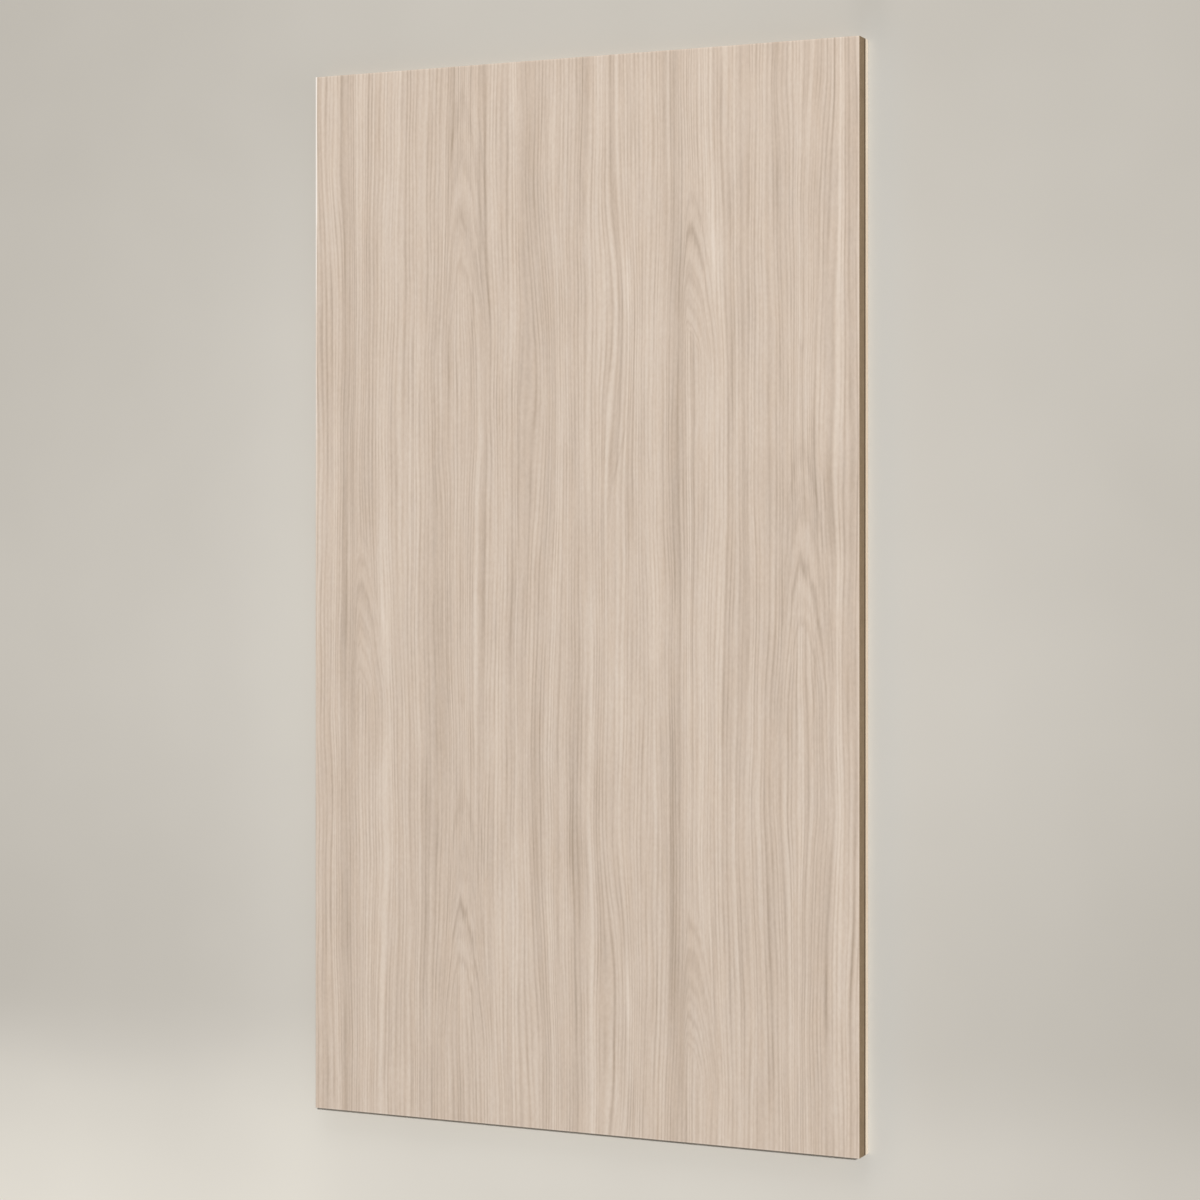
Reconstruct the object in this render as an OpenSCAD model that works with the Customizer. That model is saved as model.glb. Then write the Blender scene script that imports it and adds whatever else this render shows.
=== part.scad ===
// Wall panel: a wood-grain face sheet and a pale backing board bonded to a brown core board.
// It lies on its back with the face up. X runs across the grain, Y along it, and the origin is
// at the middle of the back.

/* [Panel] */
// Width of the panel, across the grain
panel_w = 600; // [300:10:1220]
// Length of the panel, along the grain
panel_l = 1080; // [600:10:2800]

/* [Layers] */
// Thickness of the wood-grain sheet on the face
sheet_t = 0.8; // [0.6:0.1:1.5]
// Thickness of the brown core board
core_t = 18; // [9:1:30]
// Thickness of the pale backing board
backing_t = 8; // [5:1:15]

/* [Arrises] */
// Radius of the eased arris round the face
face_arris_r = 0.5; // [0.2:0.1:0.5]
// Radius of the two broken arrises that make the fine line between core and backing
joint_arris_r = 0.4; // [0.2:0.1:1]
// Radius of the eased arris round the back
back_arris_r = 1; // [0.5:0.1:2]

/* [Hidden] */
$fn = 48;
core_z = backing_t;
sheet_z = core_z + core_t;
sheet_colour = [0.81, 0.74, 0.67];
core_colour = [0.54, 0.46, 0.37];
backing_colour = [0.88, 0.80, 0.70];

// What sanding takes off a square corner at the origin, where the board lies towards -X and -Y
module corner_waste(radius) {
    difference() {
        translate([-radius, -radius]) square(2 * radius);
        translate([-radius, -radius]) circle(radius);
    }
}

// Section of a board that stands on the X axis, with its upper and its lower corners eased
module board_section(span, thickness, upper_r, lower_r) {
    difference() {
        translate([-span / 2, 0]) square([span, thickness]);
        for (side = [0, 1]) mirror([side, 0]) {
            if (upper_r > 0) translate([span / 2, thickness]) corner_waste(upper_r);
            if (lower_r > 0) translate([span / 2, 0]) mirror([0, 1]) corner_waste(lower_r);
        }
    }
}

// A board of the panel's outline with eased arrises, which meet in mitres at its four corners
module board(thickness, upper_r = 0, lower_r = 0) {
    intersection() {
        rotate([90, 0, 0])
            linear_extrude(panel_l, center = true)
                board_section(panel_w, thickness, upper_r, lower_r);
        rotate([90, 0, 90])
            linear_extrude(panel_w, center = true)
                board_section(panel_l, thickness, upper_r, lower_r);
    }
}

module face_sheet() {
    color(sheet_colour)
        translate([0, 0, sheet_z]) board(sheet_t, upper_r = face_arris_r);
}

module core_board() {
    color(core_colour)
        translate([0, 0, core_z]) board(core_t, lower_r = joint_arris_r);
}

module backing_board() {
    color(backing_colour)
        board(backing_t, upper_r = joint_arris_r, lower_r = back_arris_r);
}

face_sheet();
core_board();
backing_board();
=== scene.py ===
# %% [markdown]
# A wall panel, face up on a pale floor. The real one is a bonded sandwich: a thin wood-grain laminate on
# a brown fibreboard core, with a pale backing board behind. The three boards are solids already, at
# their true size, and could simply be painted in three flat colours. What makes such a panel look real
# is its finish, so this lesson spends its cells on the light, the printed grain and the sawn edges.

# %% Load the solids
import math

import bpy
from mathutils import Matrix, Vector


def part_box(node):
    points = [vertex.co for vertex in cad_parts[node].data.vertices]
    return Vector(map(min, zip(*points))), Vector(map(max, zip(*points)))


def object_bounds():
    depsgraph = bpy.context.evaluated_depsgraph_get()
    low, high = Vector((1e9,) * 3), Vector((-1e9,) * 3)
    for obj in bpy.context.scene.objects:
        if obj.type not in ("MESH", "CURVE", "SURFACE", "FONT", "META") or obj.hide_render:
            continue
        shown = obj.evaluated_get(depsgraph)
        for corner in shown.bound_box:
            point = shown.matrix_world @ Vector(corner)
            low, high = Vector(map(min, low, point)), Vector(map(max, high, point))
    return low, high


MILLIMETRES = 1000.0        # in a metre

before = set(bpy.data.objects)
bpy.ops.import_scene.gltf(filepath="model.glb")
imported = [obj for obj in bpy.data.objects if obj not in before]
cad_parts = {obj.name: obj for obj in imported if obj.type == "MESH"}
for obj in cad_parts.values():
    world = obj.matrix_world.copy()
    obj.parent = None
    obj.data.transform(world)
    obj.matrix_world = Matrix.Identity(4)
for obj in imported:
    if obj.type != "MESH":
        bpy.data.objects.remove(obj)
cad_low, cad_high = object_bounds()
panel_width, panel_length, panel_thickness = (cad_high - cad_low) * MILLIMETRES
joint_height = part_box("backing_board")[1].z * MILLIMETRES
print("panel", [round(side, 1) for side in (panel_width, panel_length, panel_thickness)], "mm")
print("joint between core and backing at", round(joint_height, 1), "mm")

# %% [markdown]
# The camera stands to the right of the panel and isn't tilted along the grain, so the long edges stay
# parallel in the picture. Tilting it would be simpler, but the edges would then run together. A studio
# uses a shift lens for this: the picture is moved on the film instead of turning the camera.

# %% Camera
CAMERA_RIGHT = 1.188        # metres from the middle of the face, across the grain
CAMERA_ALONG = 0.055        # metres from the middle of the face, along the grain
CAMERA_OFF_FACE = 2.587     # metres in front of the face
CAMERA_TURN = 24.173        # degrees, towards the panel
CAMERA_LENS = 85.0          # millimetres
CAMERA_SENSOR = 36.0        # millimetres
CAMERA_SHIFT = -0.05        # share of the picture's side

scene = bpy.context.scene
camera_data = bpy.data.cameras.new("camera")
camera_data.lens = CAMERA_LENS
camera_data.sensor_width = CAMERA_SENSOR
camera_data.shift_y = CAMERA_SHIFT
camera = bpy.data.objects.new("camera", camera_data)
camera.location = (CAMERA_RIGHT, CAMERA_ALONG, cad_high.z + CAMERA_OFF_FACE)
camera.rotation_euler = (0.0, math.radians(CAMERA_TURN), 0.0)
scene.collection.objects.link(camera)
scene.camera = camera
print("camera at", [round(c, 3) for c in camera.location])

# %% [markdown]
# In a studio, light also comes back from the walls. White walls could be built round the floor, but a
# world colour gives the same even light at no cost. It is weak and hardly warm, and the lamps do the rest.
# The Standard view shows a colour as it was written, where a film-like view would grey it.

# %% World
WORLD_COLOUR = (1.0, 0.99, 0.98, 1.0)
WORLD_LEVEL = 0.25

world = bpy.data.worlds.new("studio")
scene.world = world
world.use_nodes = True
background = world.node_tree.nodes["Background"]
background.inputs["Color"].default_value = WORLD_COLOUR
background.inputs["Strength"].default_value = WORLD_LEVEL
scene.view_settings.view_transform = "Standard"
print("world", world.name, "at strength", WORLD_LEVEL)

# %% [markdown]
# A pale matt board needs plain light. One big area lamp close by would be soft, but it fades from one end
# of the face to the other. A distant lamp lights both ends alike, so the key light is a sun, a little
# wide so that its shadow has a soft rim. It stands so that the shadow shows only as a thin line along
# the bottom edge. A weak lamp beyond the top edge lifts that end, and one at the right lifts the sawn side.

# %% Lamps
KEY_SPOT = Vector((0.50, 0.29, 1.0))    # only its direction counts, because a sun is far away
KEY_POWER = 2.42            # watts on a square metre
KEY_WIDTH = 2.0             # degrees
TOP_SPOT = Vector((0.3, 1.7, 1.6))      # metres from the middle of the panel
TOP_POWER = 6.0             # watts
FILL_SPOT = Vector((3.0, 0.0, 0.8))
FILL_POWER = 8.0
LAMP_SIDE = 1.0             # metres, of the two weak lamps


def lamp(name, kind, spot, power):
    """A lamp at that spot, turned to the middle of the panel."""
    data = bpy.data.lights.new(name, kind)
    data.energy = power
    made = bpy.data.objects.new(name, data)
    made.location = spot
    made.rotation_euler = (-spot).to_track_quat("-Z", "Y").to_euler()
    scene.collection.objects.link(made)
    return data


lamp("key_light", "SUN", KEY_SPOT, KEY_POWER).angle = math.radians(KEY_WIDTH)
lamp("top_light", "AREA", TOP_SPOT, TOP_POWER).size = LAMP_SIDE
lamp("fill_light", "AREA", FILL_SPOT, FILL_POWER).size = LAMP_SIDE
print("lamps", [light.name for light in bpy.data.lights])


# %% [markdown]
# A shader is a tree of nodes, and a long formula takes many of them. They could be placed and linked one
# by one, but nobody could read the formula afterwards. Here a small class stands for any value that
# changes over a surface, and its sums and products add the Math nodes by themselves.

# %% Values that change over a surface
class Field:
    """One output of a node. Sums and products of fields become Math nodes."""

    def __init__(self, tree, socket):
        self.tree = tree
        self.socket = socket

    def __add__(self, other):
        return formula("ADD", self, other)

    def __radd__(self, other):
        return formula("ADD", other, self)

    def __sub__(self, other):
        return formula("SUBTRACT", self, other)

    def __rsub__(self, other):
        return formula("SUBTRACT", other, self)

    def __mul__(self, other):
        return formula("MULTIPLY", self, other)

    def __truediv__(self, other):
        return formula("DIVIDE", self, other)

    def __abs__(self):
        return formula("ABSOLUTE", self)


print(Field.__name__ + ":", Field.__doc__)


# %% [markdown]
# Each formula becomes a node that is linked to the values it works on, and a plain number is set on the
# node's own socket. Two curves come up again and again. A bell makes a soft patch, and an ease makes a
# soft border. Both could be colour ramps, but a formula can be given its size by another field.

# %% Formulas as nodes
def plug(tree, value, socket):
    """Links a field to a socket, or sets a plain number or colour on it."""
    if isinstance(value, Field):
        tree.links.new(value.socket, socket)
    else:
        socket.default_value = value


def formula(operation, *values):
    tree = next(value.tree for value in values if isinstance(value, Field))
    node = tree.nodes.new("ShaderNodeMath")
    node.operation = operation
    for socket, value in zip(node.inputs, values):
        plug(tree, value, socket)
    return Field(tree, node.outputs[0])


def bell(distance):
    """1 where the distance is 0, and nearly 0 beyond 2."""
    return formula("EXPONENT", distance * distance * -1.0)


def ease(field, start, end):
    """0 where the field is start, 1 where it is end, with a soft turn at both."""
    node = field.tree.nodes.new("ShaderNodeMapRange")
    node.interpolation_type = "SMOOTHSTEP"
    for label, value in (("Value", field), ("From Min", start), ("From Max", end)):
        plug(field.tree, value, node.inputs[label])
    return Field(field.tree, node.outputs[0])


print("a bell falls to", round(math.exp(-1.0), 2), "at 1 and to", round(math.exp(-4.0), 2), "at 2")


# %% [markdown]
# An effect that several finishes share is made once, as a node group with named sockets. It could be
# copied into each material, but then every correction has to be made several times. The groups here put
# out numbers only. The shader itself stays in each material.

# %% Node groups
def new_group(name, inputs, outputs):
    """An empty group. Inputs is a table of names and default values."""
    tree = bpy.data.node_groups.new(name, "ShaderNodeTree")
    for label, value in inputs.items():
        socket = tree.interface.new_socket(label, in_out="INPUT", socket_type="NodeSocketFloat")
        socket.default_value = value
    for label in outputs:
        tree.interface.new_socket(label, in_out="OUTPUT", socket_type="NodeSocketFloat")
    entry = tree.nodes.new("NodeGroupInput")
    return tree, {label: Field(tree, entry.outputs[label]) for label in inputs}


def close_group(tree, results):
    leave = tree.nodes.new("NodeGroupOutput")
    for label, field in results.items():
        plug(tree, field, leave.inputs[label])
    print("group", tree.name, "with", len(tree.nodes), "nodes")


def place(tree, group, values):
    """Puts a group into a tree and returns its outputs by name."""
    node = tree.nodes.new("ShaderNodeGroup")
    node.node_tree = group
    for label, value in values.items():
        plug(tree, value, node.inputs[label])
    return {socket.name: Field(tree, socket) for socket in node.outputs}


print("node groups so far:", len(bpy.data.node_groups))

# %% [markdown]
# Wood, board and print all have long thin marks. Thousands of fine curves could make them, at the cost of
# a heavy scene. Noise costs nothing, but it is as long as it is wide, so here it is stretched: the place
# across and the place along are divided by a cell's width and length before the noise is read. Each use
# has its own seed, which reads another part of the same endless noise.

# %% Stretched noise
SEED_STEP_ACROSS = 37.7
SEED_STEP_ALONG = 11.3


def make_fibre_group():
    inputs = {"Across": 0.0, "Along": 0.0, "Wide": 10.0, "Long": 100.0, "Detail": 1.0, "Seed": 0.0}
    tree, f = new_group("Fibres", inputs, ["Value"])
    vector = tree.nodes.new("ShaderNodeCombineXYZ")
    plug(tree, f["Across"] / f["Wide"] + f["Seed"] * SEED_STEP_ACROSS, vector.inputs["X"])
    plug(tree, f["Along"] / f["Long"] + f["Seed"] * SEED_STEP_ALONG, vector.inputs["Y"])
    noise = tree.nodes.new("ShaderNodeTexNoise")
    noise.noise_dimensions = "2D"
    noise.inputs["Scale"].default_value = 1.0
    noise.inputs["Roughness"].default_value = 1.0
    tree.links.new(vector.outputs["Vector"], noise.inputs["Vector"])
    plug(tree, f["Detail"], noise.inputs["Detail"])
    close_group(tree, {"Value": Field(tree, noise.outputs[0]) * 2.0 - 1.0})
    return tree


fibre_group = make_fibre_group()


def fibres(across, along, wide, long, seed, detail=1.0):
    """Noise from -1 to 1 in cells of that width and length."""
    values = {"Across": across, "Along": along, "Wide": wide, "Long": long, "Detail": detail, "Seed": seed}
    return place(across.tree, fibre_group, values)["Value"]


# %% [markdown]
# The print on such a laminate comes off a roller, so it repeats. The next copy to the right sits half a
# turn higher, as it does where two rollers' widths are set side by side, and the eye doesn't catch the
# repeat. The marks could be written down once for each copy. Instead every place on the face is brought
# back to one tile of the print, in millimetres, so each mark is written down once.

# %% Repeat of the print
REPEAT_ACROSS = 370.0       # millimetres from a figure to its copy on the right
REPEAT_RISE = 352.0         # millimetres that the copy on the right sits higher
REPEAT_ALONG = 710.0        # millimetres from a figure to its copy further up


def to_tile(x, y):
    column = formula("FLOOR", x / REPEAT_ACROSS + 0.5)
    return x - column * REPEAT_ACROSS, y - column * REPEAT_RISE


def from_copy(tile_y, centre):
    """Distance along the grain from the nearest copy of a place."""
    return formula("WRAP", tile_y - centre, REPEAT_ALONG / 2, REPEAT_ALONG / -2)


print("tiles across the panel:", round(panel_width / REPEAT_ACROSS, 2))

# %% [markdown]
# Where a board is cut near the heart of the tree, its growth rings come out as nested pointed arches. They
# could be drawn as curves, but then each line needs its own. Instead the rings are one number: the root
# of the distance from the axis squared plus the height left to the arch's foot. Lines of equal number are
# parabolas, steep at the flanks and pointed at the tip, and any pattern of lines can be laid on them. In
# the core of the figure they fade out again, because the wood is plain there.

# %% Arches
TIP_SOFTNESS = 40.0         # millimetres over which the crown of the arches is rounded
FOOT_SOFTNESS = 20.0        # millimetres over which the arches turn into straight lines
BORDER_SHARE = 0.8          # share of the reach where the outer border begins
CORE_SHARE = 0.6            # share of the core that is quite plain
END_SHARE = 0.7             # share of the length where both ends begin to fade


def make_arch_group():
    inputs = {"Across": 0.0, "Along": 0.0, "Left": 1.0, "Right": 1.0, "Height": 200.0, "Spread": 3.0,
              "Reach": 30.0, "Core": 10.0, "Up": 100.0, "Down": 100.0, "Pull": 0.0}
    tree, f = new_group("Arches", inputs, ["Ring", "Mask", "Fade", "Shift"])
    across, along, height = f["Across"], f["Along"], f["Height"]
    far = formula("SQRT", along * along + TIP_SOFTNESS ** 2) - TIP_SOFTNESS
    rise = formula("SMOOTH_MAX", height - far, 0.0, FOOT_SOFTNESS) * f["Spread"]
    on_right = formula("GREATER_THAN", across, 0.0)
    flank = across * (f["Left"] + (f["Right"] - f["Left"]) * on_right)
    ring = formula("SQRT", flank * flank + rise)
    inside = ease(ring, f["Reach"], f["Reach"] * BORDER_SHARE)
    inside = inside * ease(ring, f["Core"] * CORE_SHARE, f["Core"])
    fade = ease(along, f["Up"], f["Up"] * END_SHARE)
    fade = fade * ease(along, f["Down"] * -1.0, f["Down"] * -END_SHARE)
    pull = formula("SQRT", rise / (height * f["Spread"])) * f["Pull"]
    shift = across * pull * bell(across / f["Reach"])
    close_group(tree, {"Ring": ring, "Mask": inside * fade, "Fade": fade, "Shift": shift})
    return tree


arch_group = make_arch_group()

# %% [markdown]
# Between the figures the grain is a fine ruling: dark late wood every few millimetres, drifting a little,
# stronger here and weaker there, on broader pale and dark bands. Noise alone gives woolly lines, and a
# plain wave gives a printed ruler. So the ruling is a wave whose dark crests are squared to make them
# thin, and noise makes it drift and changes its strength.

# %% Growth lines
LINE_SPACING = 4.2          # millimetres from one dark line to the next
LINE_DRIFT = 1.3            # line spacings
LINE_SWING = 1.2            # how much the strength of the lines goes up and down
LINE_GROUND = 0.45          # tone of the ground between the lines, which makes up for their darkness
BROAD_DARKENING = 0.6       # how much further the dark bands go than the pale ones


def make_lines_group():
    inputs = {"Across": 0.0, "Along": 0.0, "Broad": 20.0, "Fine": 11.5, "Seed": 0.0}
    tree, f = new_group("Growth Lines", inputs, ["Tone"])
    across, along, seed = f["Across"], f["Along"], f["Seed"]
    broad = fibres(across, along, wide=12.5, long=1700.0, seed=seed, detail=2.0)
    broad = broad - broad * broad * BROAD_DARKENING
    drift = fibres(across, along, wide=20.0, long=1500.0, seed=seed + 3.0) * LINE_DRIFT
    crest = formula("COSINE", (across / LINE_SPACING + drift) * math.tau) * 0.5 + 0.5
    strength = fibres(across, along, wide=13.0, long=100.0, seed=seed + 5.0) * LINE_SWING + 1.0
    ruling = LINE_GROUND - crest * crest * strength
    close_group(tree, {"Tone": broad * f["Broad"] + ruling * f["Fine"]})
    return tree


lines_group = make_lines_group()


# %% [markdown]
# A few marks give the print its character: long dark streaks, a dark smear beside an arch, a pale drop.
# They could be thin meshes just above the face, but a print has no height. Each is an oval patch of tone
# with soft rims, far longer than it is wide, which may lean a little, so one small group makes them all.

# %% Shape of a streak
def make_streak_group():
    inputs = {"Across": 0.0, "Along": 0.0, "Half Width": 2.0, "Half Length": 50.0, "Lean": 0.0,
              "Tone": -5.0}
    tree, f = new_group("Streak", inputs, ["Tone"])
    u = (f["Across"] - f["Along"] * f["Lean"]) / f["Half Width"]
    v = f["Along"] / f["Half Length"]
    close_group(tree, {"Tone": formula("EXPONENT", (u * u + v * v) * -1.0) * f["Tone"]})
    return tree


streak_group = make_streak_group()

# %% [markdown]
# An engraver puts the streaks on the roller by hand. They could be strewn at random, but a wood is known
# by such marks, so each has its listed place in the tile, in millimetres from its middle, and comes back
# in every copy. Tones are counted in screen levels: -5 is five levels darker than the print.

# %% Streaks of a tile
STREAKS = [                 # across, along, half width, half length, lean, tone
    (5, 410, 1.6, 90, 0.0, -10),
    (5, -110, 1.6, 60, 0.0, -9),
    (-104, 20, 2.0, 130, 0.022, -10),
    (-47, 430, 4.0, 90, 0.0, -6),
    (39, 225, 1.3, 75, 0.02, -9),
    (46, 145, 1.3, 45, 0.20, -8),
    (105, 425, 3.5, 120, 0.0, -6),
    (114, 255, 9.0, 90, 0.0, -7),
    (-126, 380, 1.8, 13, -0.25, -13),
    (85, 330, 1.4, 200, 0.0, -6),
    (-105, 455, 1.3, 50, -0.107, -9),
    (-117, 250, 1.4, 85, 0.05, -9),
    (-134, 235, 1.3, 80, 0.0, -6),
    (-20, 110, 1.6, 90, 0.0, 6),
    (50, 312, 5.0, 38, -0.05, 11),
    (151, 330, 3.0, 55, -0.12, 6),
]


def streaks(across, tile_y):
    total = 0.0
    for centre_x, centre_y, half_width, half_length, lean, tone in STREAKS:
        values = {"Across": across - centre_x, "Along": from_copy(tile_y, centre_y),
                  "Half Width": half_width, "Half Length": half_length, "Lean": lean, "Tone": tone}
        total = total + place(across.tree, streak_group, values)["Tone"]
    return total


print(len(STREAKS), "streaks in each tile")

# %% [markdown]
# Lines also bow sideways round a knot that lies just under the surface. They could be drawn bent, one by
# one. Here the bow is a push across the grain, strongest on its middle line and gone some way up and
# down, and every line that is read at the pushed place bends along with its neighbours.

# %% Bows
BOWS = [                    # across, along, half width, reach up, reach down, push
    (-38.0, 240.0, 19.0, 190.0, 350.0, -11.0),
    (46.0, 285.0, 15.0, 190.0, 190.0, -11.0),
]
BOW_FOOT = 0.2              # share of the reach down that has the full push


def bows(tile_x, tile_y):
    total = 0.0
    for centre_x, centre_y, half_width, up, down, push in BOWS:
        along = from_copy(tile_y, centre_y)
        height = ease(along, up, 0.0) * ease(along, -down, -BOW_FOOT * down)
        total = total + bell((tile_x - centre_x) / half_width) * height * push
    return total


print(len(BOWS), "bows in each tile")

# %% [markdown]
# Rims of arches and bands of colour are soft lines at set places of some number, such as the place across
# the tile. Each could be a bell of its own. A colour ramp takes many of them in one node, so the tones go
# into a ramp as greys, with middle grey for no mark, and come out as tones again.

# %% Soft marks
TONE_SPAN = 40.0            # screen levels from the darkest to the palest tone of a ramp


def fill_ramp(field, stops, interpolation):
    """Stops are pairs of the field's value and a colour, in rising order."""
    tree = field.tree
    ramp = tree.nodes.new("ShaderNodeValToRGB")
    ramp.color_ramp.interpolation = interpolation
    elements = ramp.color_ramp.elements
    elements.remove(elements[1])
    low, high = stops[0][0], stops[-1][0]
    for index, (value, colour) in enumerate(stops):
        position = (value - low) / (high - low)
        element = elements[0] if index == 0 else elements.new(position)
        element.position = position
        element.color = colour
    plug(tree, (field - low) / (high - low), ramp.inputs["Fac"])
    return Field(tree, ramp.outputs["Color"])


def marks(field, spots):
    """Tone of soft marks, each given by its place, half width and tone, in rising order."""
    stops = []
    for centre, half_width, tone in spots:
        stops += [(centre - half_width, 0.0), (centre, tone), (centre + half_width, 0.0)]
    levels = [(value, tone / TONE_SPAN + 0.5) for value, tone in stops]
    greys = [(value, (level, level, level, 1.0)) for value, level in levels]
    return (fill_ramp(field, greys, "EASE") - 0.5) * TONE_SPAN


print("a ramp holds tones from", -TONE_SPAN / 2, "to", TONE_SPAN / 2)

# %% [markdown]
# Two sets of arches show in each tile: a cathedral, whose narrow arches stand one above the other, and
# half a fan that sweeps out of a dark band. Their lines mix with the straight ones, with soft borders.
# Some arches have a thin dark rim. It could be a streak, but a mark laid on the ring number keeps to its
# arch by itself, from the tip to both feet.

# %% Figures
FIGURES = {
    "cathedral": {
        "at": (-129.0, 556.0), "weight": 0.75, "density": 1.5,
        "shape": {"Left": 1.1, "Right": 0.75, "Height": 250.0, "Spread": 3.0, "Reach": 27.0, "Core": 17.0,
                  "Up": 60.0, "Down": 350.0, "Pull": 0.7},
        "rims": [(14.2, 1.0, -7.0), (18.8, 1.3, -11.0), (22.8, 1.1, -8.0), (25.8, 1.1, -8.0)],
    },
    "fan": {
        "at": (122.0, 505.0), "weight": 0.85, "density": 1.2,
        "shape": {"Left": 3.5, "Right": 1.0, "Height": 225.0, "Spread": 7.0, "Reach": 38.0, "Core": 14.0,
                  "Up": 60.0, "Down": 350.0, "Pull": 0.3},
        "rims": [(19.5, 1.1, -6.0), (24.0, 1.1, -7.0), (28.5, 1.1, -7.0)],
    },
}
FRAYING = 1.2               # how far single fibres stray from their ring
RING_OFFSET = 300.0         # between the ring numbers of one figure and the next one's
MASK_FLOOR = 0.0001         # below this a figure isn't there


def figures(tile_x, tile_y):
    """Ring numbers, mask, push across the grain and dark rims of all the figures."""
    ring, mask, shift, rims = 0.0, 0.0, 0.0, 0.0
    frayed = fibres(tile_x, tile_y, wide=5.0, long=60.0, seed=33.0) * FRAYING
    for index, figure in enumerate(FIGURES.values()):
        centre_x, centre_y = figure["at"]
        values = dict(figure["shape"], Across=tile_x - centre_x, Along=from_copy(tile_y, centre_y))
        made = place(tile_x.tree, arch_group, values)
        here = formula("GREATER_THAN", made["Mask"], MASK_FLOOR)
        ring = ring + here * ((made["Ring"] + frayed) * figure["density"] + index * RING_OFFSET)
        mask = mask + made["Mask"] * figure["weight"]
        shift = shift + made["Shift"]
        rims = rims + marks(made["Ring"] + frayed, figure["rims"]) * made["Fade"]
    return ring, mask, shift, rims


print("dark rims:", {name: len(figure["rims"]) for name, figure in FIGURES.items()})

# %% [markdown]
# No grain runs dead straight. It wanders, in long waves and in shorter ones, and here and there a thin
# dark vein follows it. A vein could be one more streak, but a print has hundreds. So veins lie where a
# slow noise is just 0, which is a line, and a second noise lets them come and go.

# %% Wander and veins
WANDER_FAR = 5.0            # millimetres, in the long waves
WANDER_NEAR = 2.2           # millimetres, in the short ones
VEIN_WIDTH = 0.07           # share of the noise's height
VEIN_PRESENCE = (-0.1, 0.4)     # levels of the second noise where veins begin and are full
VEIN_TONE = -9.0


def wander(x, y):
    far = fibres(x, y, wide=110.0, long=380.0, seed=21.0) * WANDER_FAR
    return far + fibres(x, y, wide=32.0, long=170.0, seed=22.0) * WANDER_NEAR


def veins(across, along):
    level = fibres(across, along, wide=14.0, long=1200.0, seed=35.0, detail=0.0)
    presence = fibres(across, along, wide=24.0, long=160.0, seed=36.0, detail=0.0)
    return bell(level / VEIN_WIDTH) * ease(presence, *VEIN_PRESENCE) * VEIN_TONE


print("the grain strays up to", WANDER_FAR + WANDER_NEAR, "mm")

# %% [markdown]
# Bands about a finger wide run along the whole board, pale where the tree grew fast and dark where it
# grew slowly. Noise could place them, but they belong to the print and come back in each tile, so they
# are marks at set places. Noise only makes them stronger here and weaker there.

# %% Bands
BANDS = [                   # across, half width, tone
    (-160.0, 20.0, -3.0),
    (-106.0, 7.5, -4.0),
    (-91.0, 7.5, 6.0),
    (-48.0, 16.0, -5.0),
    (3.0, 6.0, -3.0),
    (19.0, 10.0, 6.0),
    (50.0, 14.0, 3.0),
    (72.0, 8.0, -3.0),
    (109.0, 17.0, -9.0),
    (150.0, 28.0, 3.0),
]
BAND_LEVEL = 0.95           # mean strength


def bands(band_x, x, y):
    strength = fibres(x, y, wide=40.0, long=200.0, seed=23.0) + BAND_LEVEL
    return marks(band_x, BANDS) * strength


print(len(BANDS), "bands in each tile")

# %% [markdown]
# Now the print is put together. The straight lines are read at a place that wanders, bows and follows the
# figures. Bands, streaks and cloudy patches lie over them. The print puts out a tone, and the long and
# short pores apart from it, because the pores are also rougher than the rest. One picture of a board
# would be simpler, but it would show its pixels close up.

# %% Print of the face
FIGURE_WANDER = 0.6         # share of the wander that the figures follow
BAND_WANDER = 0.5           # share of the wander that the bands and streaks follow
CURVED_LINES = {"Broad": 7.0, "Fine": 9.0, "Seed": 2.0}
CLOUD_TONE = 8.0
LONG_PORES = 0.6            # strengths of the two sorts of pores
SHORT_PORES = 1.5


def make_print_group():
    tree, f = new_group("Wood Grain Print", {"Across": 0.0, "Along": 0.0}, ["Tone", "Pores"])
    x, y = f["Across"], f["Along"]
    tile_x, tile_y = to_tile(x, y)
    stray = wander(x, y)
    bow = bows(tile_x, tile_y)
    ring, mask, shift, rims = figures(tile_x + stray * FIGURE_WANDER, tile_y)
    grain_x = x + stray + bow + shift

    straight = place(tree, lines_group, {"Across": grain_x, "Along": y, "Seed": 1.0})["Tone"]
    straight = straight + veins(grain_x, y)
    curved = place(tree, lines_group, dict(CURVED_LINES, Across=ring, Along=y))["Tone"]
    tone = straight + (curved - straight) * mask + rims

    band_x = formula("WRAP", x + bow + stray * BAND_WANDER, REPEAT_ACROSS / 2, REPEAT_ACROSS / -2)
    tone = tone + bands(band_x, x, y) + streaks(band_x, tile_y)
    tone = tone + fibres(x, y, wide=80.0, long=300.0, seed=25.0, detail=2.0) * CLOUD_TONE
    pores = fibres(grain_x, y, wide=2.2, long=22.0, seed=31.0, detail=0.0) * LONG_PORES
    pores = pores + fibres(grain_x, y, wide=2.4, long=7.0, seed=37.0, detail=1.0) * SHORT_PORES
    close_group(tree, {"Tone": tone, "Pores": pores})
    return tree


print_group = make_print_group()

# %% [markdown]
# The painted highlight on the arris and the painted light at the ends of the backing lie along the edges.
# Blender can find edges by itself with a pointiness value, but that needs a dense mesh. These boards are
# rectangles, so a group gives the distance from their edges.

# %% Distance from the edges
right_edge = panel_width / 2
left_edge = -right_edge
top_edge = panel_length / 2
bottom_edge = -top_edge


def make_edge_group():
    tree, f = new_group("Edge Distance", {"Across": 0.0, "Along": 0.0}, ["Left", "Top", "Bottom"])
    close_group(tree, {"Left": f["Across"] - left_edge, "Top": top_edge - f["Along"],
                       "Bottom": f["Along"] - bottom_edge})
    return tree


edge_group = make_edge_group()


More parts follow.
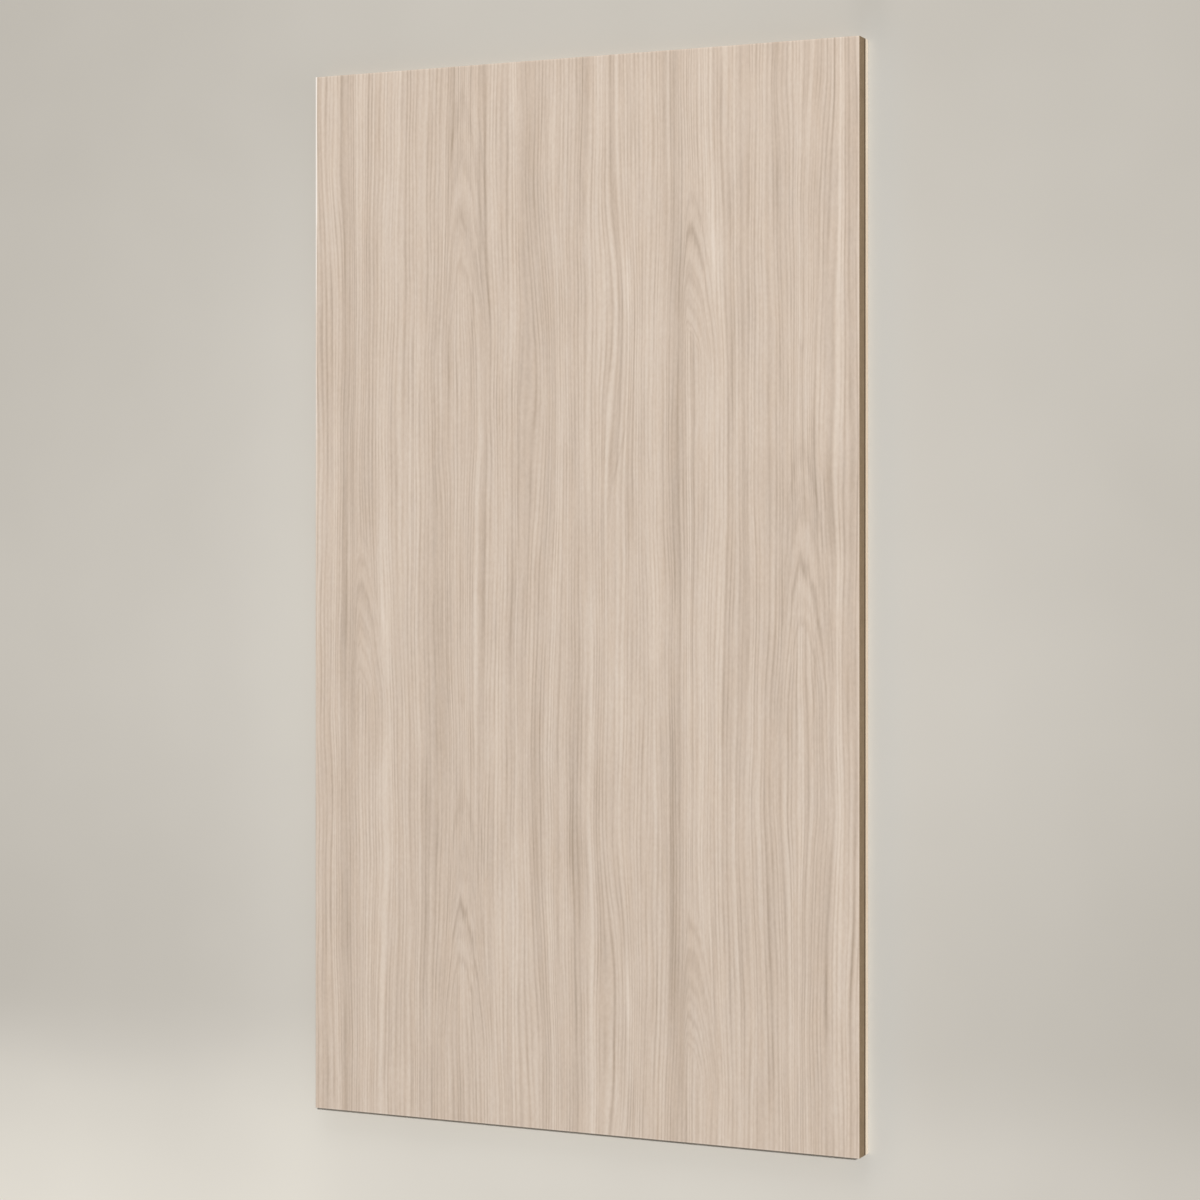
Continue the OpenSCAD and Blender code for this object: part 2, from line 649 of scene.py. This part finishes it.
# %% [markdown]
# Colours are noted the way a paint chart gives them, as eight-bit screen values. They could be typed in
# as linear light, which is what shaders reckon in, but nobody can picture those numbers. So each one is
# converted here, and a ramp then turns a tone into a colour.

# %% Colours
def linear(red, green, blue):
    def channel(value):
        value /= 255.0
        return value / 12.92 if value <= 0.04045 else ((value + 0.055) / 1.055) ** 2.4

    return (channel(red), channel(green), channel(blue), 1.0)


def colour_ramp(field, stops):
    return fill_ramp(field, [(value, linear(*colour)) for value, colour in stops], "LINEAR")


def mix_colours(share, first, second):
    tree = share.tree
    mix = tree.nodes.new("ShaderNodeMix")
    mix.data_type = "RGBA"
    plug(tree, share, mix.inputs["Factor"])
    sockets = [socket for socket in mix.inputs if socket.type == "RGBA"]
    plug(tree, first, sockets[0])
    plug(tree, second, sockets[1])
    return Field(tree, next(socket for socket in mix.outputs if socket.type == "RGBA"))


print("screen level 188 is", round(linear(188, 188, 188)[0], 2), "in linear light")

# %% [markdown]
# Every finish needs to know where on the panel it is. An unwrapped map could tell it, but the boards have
# plain sides, so the place in space does as well, in millimetres as in the workshop. The way the surface
# faces tells the face from the sides. A bump node turns stretched noise into a fine relief.

# %% Places, sides and relief
LEVEL_ENOUGH = 0.8          # upward part of the direction from which a surface counts as level
STEEP_ENOUGH = 0.3          # and below which it counts as a side


def places(tree):
    coordinate = tree.nodes.new("ShaderNodeTexCoord")
    split = tree.nodes.new("ShaderNodeSeparateXYZ")
    tree.links.new(coordinate.outputs["Object"], split.inputs["Vector"])
    return [Field(tree, split.outputs[axis]) * MILLIMETRES for axis in "XYZ"]


def steepness(tree):
    """1 on an upright side, 0 on a level face."""
    geometry = tree.nodes.new("ShaderNodeNewGeometry")
    split = tree.nodes.new("ShaderNodeSeparateXYZ")
    tree.links.new(geometry.outputs["Normal"], split.inputs["Vector"])
    return ease(abs(Field(tree, split.outputs["Z"])), LEVEL_ENOUGH, STEEP_ENOUGH)


def emboss(shader, height, depth):
    """A relief of that depth in millimetres."""
    tree = height.tree
    bump = tree.nodes.new("ShaderNodeBump")
    bump.inputs["Distance"].default_value = depth / MILLIMETRES
    plug(tree, height, bump.inputs["Height"])
    plug(tree, Field(tree, bump.outputs["Normal"]), shader.inputs["Normal"])


print("a side starts", round(math.degrees(math.acos(STEEP_ENOUGH))), "degrees from level")


# %% [markdown]
# All four finishes are matt: resin pressed on a dull plate, sawn fibre, raw wood and studio sheet. One
# material with switches could serve them all. Each gets its own instead, because a value that stays the
# same all over a surface, such as how much light glances off, is then set on that surface's own shader.

# %% Matt materials
def new_material(name, specular):
    material = bpy.data.materials.new(name)
    material.use_nodes = True
    shader = material.node_tree.nodes["Principled BSDF"]
    shader.inputs["Specular IOR Level"].default_value = specular
    return material, material.node_tree, shader


print("materials that came with the solids:", [material.name for material in bpy.data.materials])

# %% [markdown]
# The floor is a plain pale studio sheet, larger than the picture. Blender's operators can add a plane, but
# four corners written down say at once where it lies: level with the lowest point of the panel.

# %% Floor sheet
FLOOR_REACH = 8.0           # metres from the middle

floor_mesh = bpy.data.meshes.new("floor")
floor_signs = ((-1, -1), (1, -1), (1, 1), (-1, 1))
floor_corners = [(x * FLOOR_REACH, y * FLOOR_REACH, cad_low.z) for x, y in floor_signs]
floor_mesh.from_pydata(floor_corners, [], [(0, 1, 2, 3)])
floor = bpy.data.objects.new("floor", floor_mesh)
scene.collection.objects.link(floor)
print("floor", 2 * FLOOR_REACH, "m wide at", round(cad_low.z, 4), "m")

# %% [markdown]
# The sheet carries painted light and shade. It is palest in front and round the panel, with a band of
# painted shade across before the front, and greyer towards the back and the corners. It is lighter close to
# the left edge and greyer close to the right edge. A lamp for each of these would light the panel too, so
# the sheet's own colour changes in a few wide soft patches of painted light and shade instead.

# %% Floor patches of painted light and shade
EVERYWHERE = 9000           # millimetres, far wider than the picture
FLOOR_CLOUDS = 0.15
# Patches with a positive level are painted light, those with a negative level painted shade.
PAINTED_FLOOR_LIGHT_AND_SHADE = [           # middle and half width across, along: begins at, full at, level
    (0, EVERYWHERE, 700, -800, 0.9),                # paler towards the front
    (0, EVERYWHERE, -50, -430, -0.65),              # after a greyer band right across
    (0, EVERYWHERE, -430, -560, 0.7),               # that ends here
    (-700, 450, -430, -700, 1.35),                  # palest at the front left
    (-20, 470, 2000, 1000, 0.5),                    # paler round the panel
    (-20, 470, 600, 250, 0.5),                      # more so beside its lower part
    (-20, 470, -430, -700, -0.45),                  # but less in front of it
    (left_edge - 40, 70, 700, 200, 0.3),            # paler close to the left edge
    (right_edge + 2, 20, 700, 550, -0.45),          # greyer close to the right edge
    (right_edge + 2, 20, -520, -580, 0.45),         # up to its lower end
    (right_edge + 350, 150, 300, 0, -0.3),          # greyer far out on the right
]


# Random clouds plus the painted light and shade of the patches.
def floor_level_with_painted_light_and_shade(x, y):
    level = fibres(x, y, wide=260.0, long=260.0, seed=41.0, detail=2.0) * FLOOR_CLOUDS
    for middle, reach, begin, full, amount in PAINTED_FLOOR_LIGHT_AND_SHADE:
        level = level + bell((x - middle) / reach) * ease(y, begin, full) * amount
    return level


print(len(PAINTED_FLOOR_LIGHT_AND_SHADE), "patches on the floor")

# %% [markdown]
# The level picks the sheet's colour, from grey to nearly white. Beside the right edge the cream side of
# the panel throws warm light down. A bluish lamp could make up for that, but it would tint the side too,
# so the sheet itself is cooler and darker in a strip there, to stay an even grey.

# %% Floor finish
FLOOR_COLOURS = [(0, (190, 185, 176)), (1, (206, 201, 192)), (3, (238, 233, 222))]
FLOOR_ROUGHNESS = 0.9
COOL_FLOOR = linear(203, 205, 202)
COOL_OFF_EDGE = 5.0         # millimetres from the right edge to the middle of the cooler strip
COOL_HALF_WIDTH = 28.0      # millimetres
COOL_PAST_ENDS = 60.0       # millimetres beyond both ends of the panel where the strip is gone
COOL_FULL = 40.0            # millimetres before both ends where it is full
COOLING = 0.4


def make_floor_material():
    material, tree, shader = new_material("floor", specular=0.1)
    shader.inputs["Roughness"].default_value = FLOOR_ROUGHNESS
    x, y = places(tree)[:2]
    plain = colour_ramp(floor_level_with_painted_light_and_shade(x, y), FLOOR_COLOURS)
    cool_strip = bell((x - (right_edge + COOL_OFF_EDGE)) / COOL_HALF_WIDTH)
    cool_strip = cool_strip * ease(abs(y), top_edge + COOL_PAST_ENDS, top_edge - COOL_FULL)
    plug(tree, mix_colours(cool_strip * COOLING, plain, COOL_FLOOR), shader.inputs["Base Color"])
    return material


floor_material = make_floor_material()
floor_mesh.materials.append(floor_material)
print("floor material with", len(floor_material.node_tree.nodes), "nodes")

# %% [markdown]
# A highlight is painted on the arris of the face, where light glances off it: pale along the left edge
# towards the top, and fainter along both ends. A thin bright mesh along the edges could show this, but the
# highlight has no thickness. It is a tone that is added close to the edges, within the last millimetres.

# %% Painted highlight on the arris
PAINTED_HIGHLIGHT_LEFT = 58.0          # tones
PAINTED_HIGHLIGHT_TOP = 8.0
PAINTED_HIGHLIGHT_BOTTOM = 6.0
PAINTED_HIGHLIGHT_SIDE_WIDTH = (2.4, 1.0)  # millimetres from the edge where it begins and where it is full
PAINTED_HIGHLIGHT_END_WIDTH = (1.8, 0.6)
PAINTED_HIGHLIGHT_RISE = (-60.0, 480.0)    # millimetres along the left edge where it begins and where it is full


# Painted highlight, as tones added along the left edge and both ends of the face.
def painted_arris_highlight(x, y):
    edge = place(x.tree, edge_group, {"Across": x, "Along": y})
    left = ease(edge["Left"], *PAINTED_HIGHLIGHT_SIDE_WIDTH) * ease(y, *PAINTED_HIGHLIGHT_RISE) * PAINTED_HIGHLIGHT_LEFT
    top = ease(edge["Top"], *PAINTED_HIGHLIGHT_END_WIDTH) * PAINTED_HIGHLIGHT_TOP
    return left + top + ease(edge["Bottom"], *PAINTED_HIGHLIGHT_END_WIDTH) * PAINTED_HIGHLIGHT_BOTTOM


print("the arris is highlighted", PAINTED_HIGHLIGHT_SIDE_WIDTH[0], "mm wide at most")

# %% [markdown]
# The face is decor paper under clear resin, pressed against a matt plate. The tone of the print picks a
# colour from dark to pale, and slow noise makes it a little warmer or greyer. The paper's own layers show
# as a brown line on the sheet's side. A flat colour under a picture of grain would stay smooth in raking
# light, so fibres are pressed in as relief, and the pores are rougher too.

# %% Face sheet
FACE_COLOURS = [(-30, (176, 158, 140)), (-17, (190, 172, 155)), (0, (207, 189, 172)), (14, (219, 203, 187)),
                (24, (226, 211, 196)), (50, (246, 238, 229))]
KRAFT = linear(178, 158, 137)
WARMTH = 0.09               # share by which the colour's strength goes up and down
PORE_TONE = 4.0
PORE_ROUGHNESS = 0.1
FACE_ROUGHNESS = 0.6
FACE_DEPTH = 0.02           # millimetres, of the pressed fibres


def make_face_material():
    material, tree, shader = new_material("wood_grain_laminate", specular=0.25)
    x, y = places(tree)[:2]
    grain = place(tree, print_group, {"Across": x, "Along": y})
    # The tone of the print also carries the highlight painted on the arris.
    print_and_painted_highlight = colour_ramp(grain["Tone"] + grain["Pores"] * PORE_TONE + painted_arris_highlight(x, y), FACE_COLOURS)
    tint = tree.nodes.new("ShaderNodeHueSaturation")
    plug(tree, print_and_painted_highlight, tint.inputs["Color"])
    warmth = fibres(x, y, wide=20.0, long=110.0, seed=27.0, detail=2.0) * WARMTH
    plug(tree, warmth + 1.0, tint.inputs["Saturation"])
    tinted = Field(tree, tint.outputs["Color"])
    plug(tree, mix_colours(steepness(tree), tinted, KRAFT), shader.inputs["Base Color"])
    plug(tree, grain["Pores"] * PORE_ROUGHNESS + FACE_ROUGHNESS, shader.inputs["Roughness"])
    emboss(shader, fibres(x, y, wide=1.6, long=26.0, seed=71.0, detail=0.0), FACE_DEPTH)
    return material


face_material = make_face_material()
print("face material with", len(face_material.node_tree.nodes), "nodes")

# %% [markdown]
# The core is fibreboard, wood ground to fluff and pressed hard. Its sawn side could be plain brown, but
# then it looks painted. A fine speckle of fibre bundles and slow clouds make it look sawn. Just above the
# joint with the backing it is darker. The sum of both places across the panel runs along every side, so
# one noise serves all four.

# %% Core board
CORE_COLOURS = [(-4, (84, 69, 52)), (-2, (110, 92, 70)), (0, (142, 121, 95)), (2, (165, 144, 117))]
SPECKLE_TONE = 1.2
SPECKLE_CLOUDS = 0.6
SPECKLE_ROUGHNESS = 0.08
CORE_ROUGHNESS = 0.75
SPECKLE_DEPTH = 0.1         # millimetres
JOINT_DARK_TOP = 4.2              # millimetres above the joint where the dark line ends
JOINT_DARK_FULL = 2.8             # millimetres above the joint up to which it is quite dark
JOINT_DARK_TONE = -4.0


def make_core_material():
    material, tree, shader = new_material("brown_fibreboard", specular=0.2)
    x, y, z = places(tree)
    speckle = fibres(x + y, z, wide=1.6, long=0.9, seed=51.0, detail=2.0)
    clouds = fibres(x + y, z, wide=14.0, long=8.0, seed=52.0)
    # Darker in a line just above the joint.
    joint_darkening = ease(z - joint_height, JOINT_DARK_TOP, JOINT_DARK_FULL) * JOINT_DARK_TONE
    tone = speckle * SPECKLE_TONE + clouds * SPECKLE_CLOUDS + joint_darkening
    plug(tree, colour_ramp(tone, CORE_COLOURS), shader.inputs["Base Color"])
    plug(tree, speckle * SPECKLE_ROUGHNESS + CORE_ROUGHNESS, shader.inputs["Roughness"])
    emboss(shader, speckle, SPECKLE_DEPTH)
    return material


core_material = make_core_material()
print("core material with", len(core_material.node_tree.nodes), "nodes")

# %% [markdown]
# The backing is pale softwood ply, cream coloured, with its fibres along the panel. Its upper rim is
# darker next to the joint, and painted light makes it paler towards both ends. All of this could
# be painted on by hand, but the distance from the edges and from the joint says where it belongs.

# %% Backing board
BACKING_COLOURS = [(-8, (96, 80, 62)), (-2, (218, 196, 170)), (0, (238, 217, 193)), (2, (247, 231, 211)),
                   (4, (255, 243, 226))]
WOOD_TONE = 1.4
WOOD_ROUGHNESS = 0.08
BACKING_ROUGHNESS = 0.65
WOOD_DEPTH = 0.06           # millimetres
LAYER_SHARE = 0.3           # share of the height that counts as across, so that the sides show layers
PAINTED_END_LIGHT = 2.2
PAINTED_END_LIGHT_REACH = 160.0          # millimetres
RIM_DEPTH = 1.0             # millimetres below the joint where the dark rim of glue ends
RIM_FULL = 0.4              # millimetres below the joint down to which it is quite dark
RIM_TONE = -4.5


def make_backing_material():
    material, tree, shader = new_material("pale_backing", specular=0.25)
    x, y, z = places(tree)
    edge = place(tree, edge_group, {"Across": x, "Along": y})
    wood = fibres(x + z * LAYER_SHARE, y, wide=2.4, long=60.0, seed=61.0, detail=2.0)
    # Painted light: paler towards both ends of the backing.
    ends = (bell(edge["Top"] / PAINTED_END_LIGHT_REACH) + bell(edge["Bottom"] / PAINTED_END_LIGHT_REACH)) * PAINTED_END_LIGHT
    # Darker in a line just below the joint.
    rim = ease(z - joint_height, -RIM_DEPTH, -RIM_FULL) * RIM_TONE
    plug(tree, colour_ramp(wood * WOOD_TONE + ends + rim, BACKING_COLOURS), shader.inputs["Base Color"])
    plug(tree, wood * WOOD_ROUGHNESS + BACKING_ROUGHNESS, shader.inputs["Roughness"])
    emboss(shader, wood, WOOD_DEPTH)
    return material


backing_material = make_backing_material()
print("backing material with", len(backing_material.node_tree.nodes), "nodes")

# %% [markdown]
# The boards keep their own solids, which have the true size and the eased arrises. New meshes could stand
# in for them, but nothing about their shape is missing. So each board only takes its new finish in place
# of the plain one.

# %% Dress the boards
FINISHES = {"face_sheet": face_material, "core_board": core_material, "backing_board": backing_material}
for board, finish in FINISHES.items():
    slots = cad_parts[board].data.materials
    slots.clear()
    slots.append(finish)
    print(board, "wears", finish.name)

# %% [markdown]
# Finishes change no size.
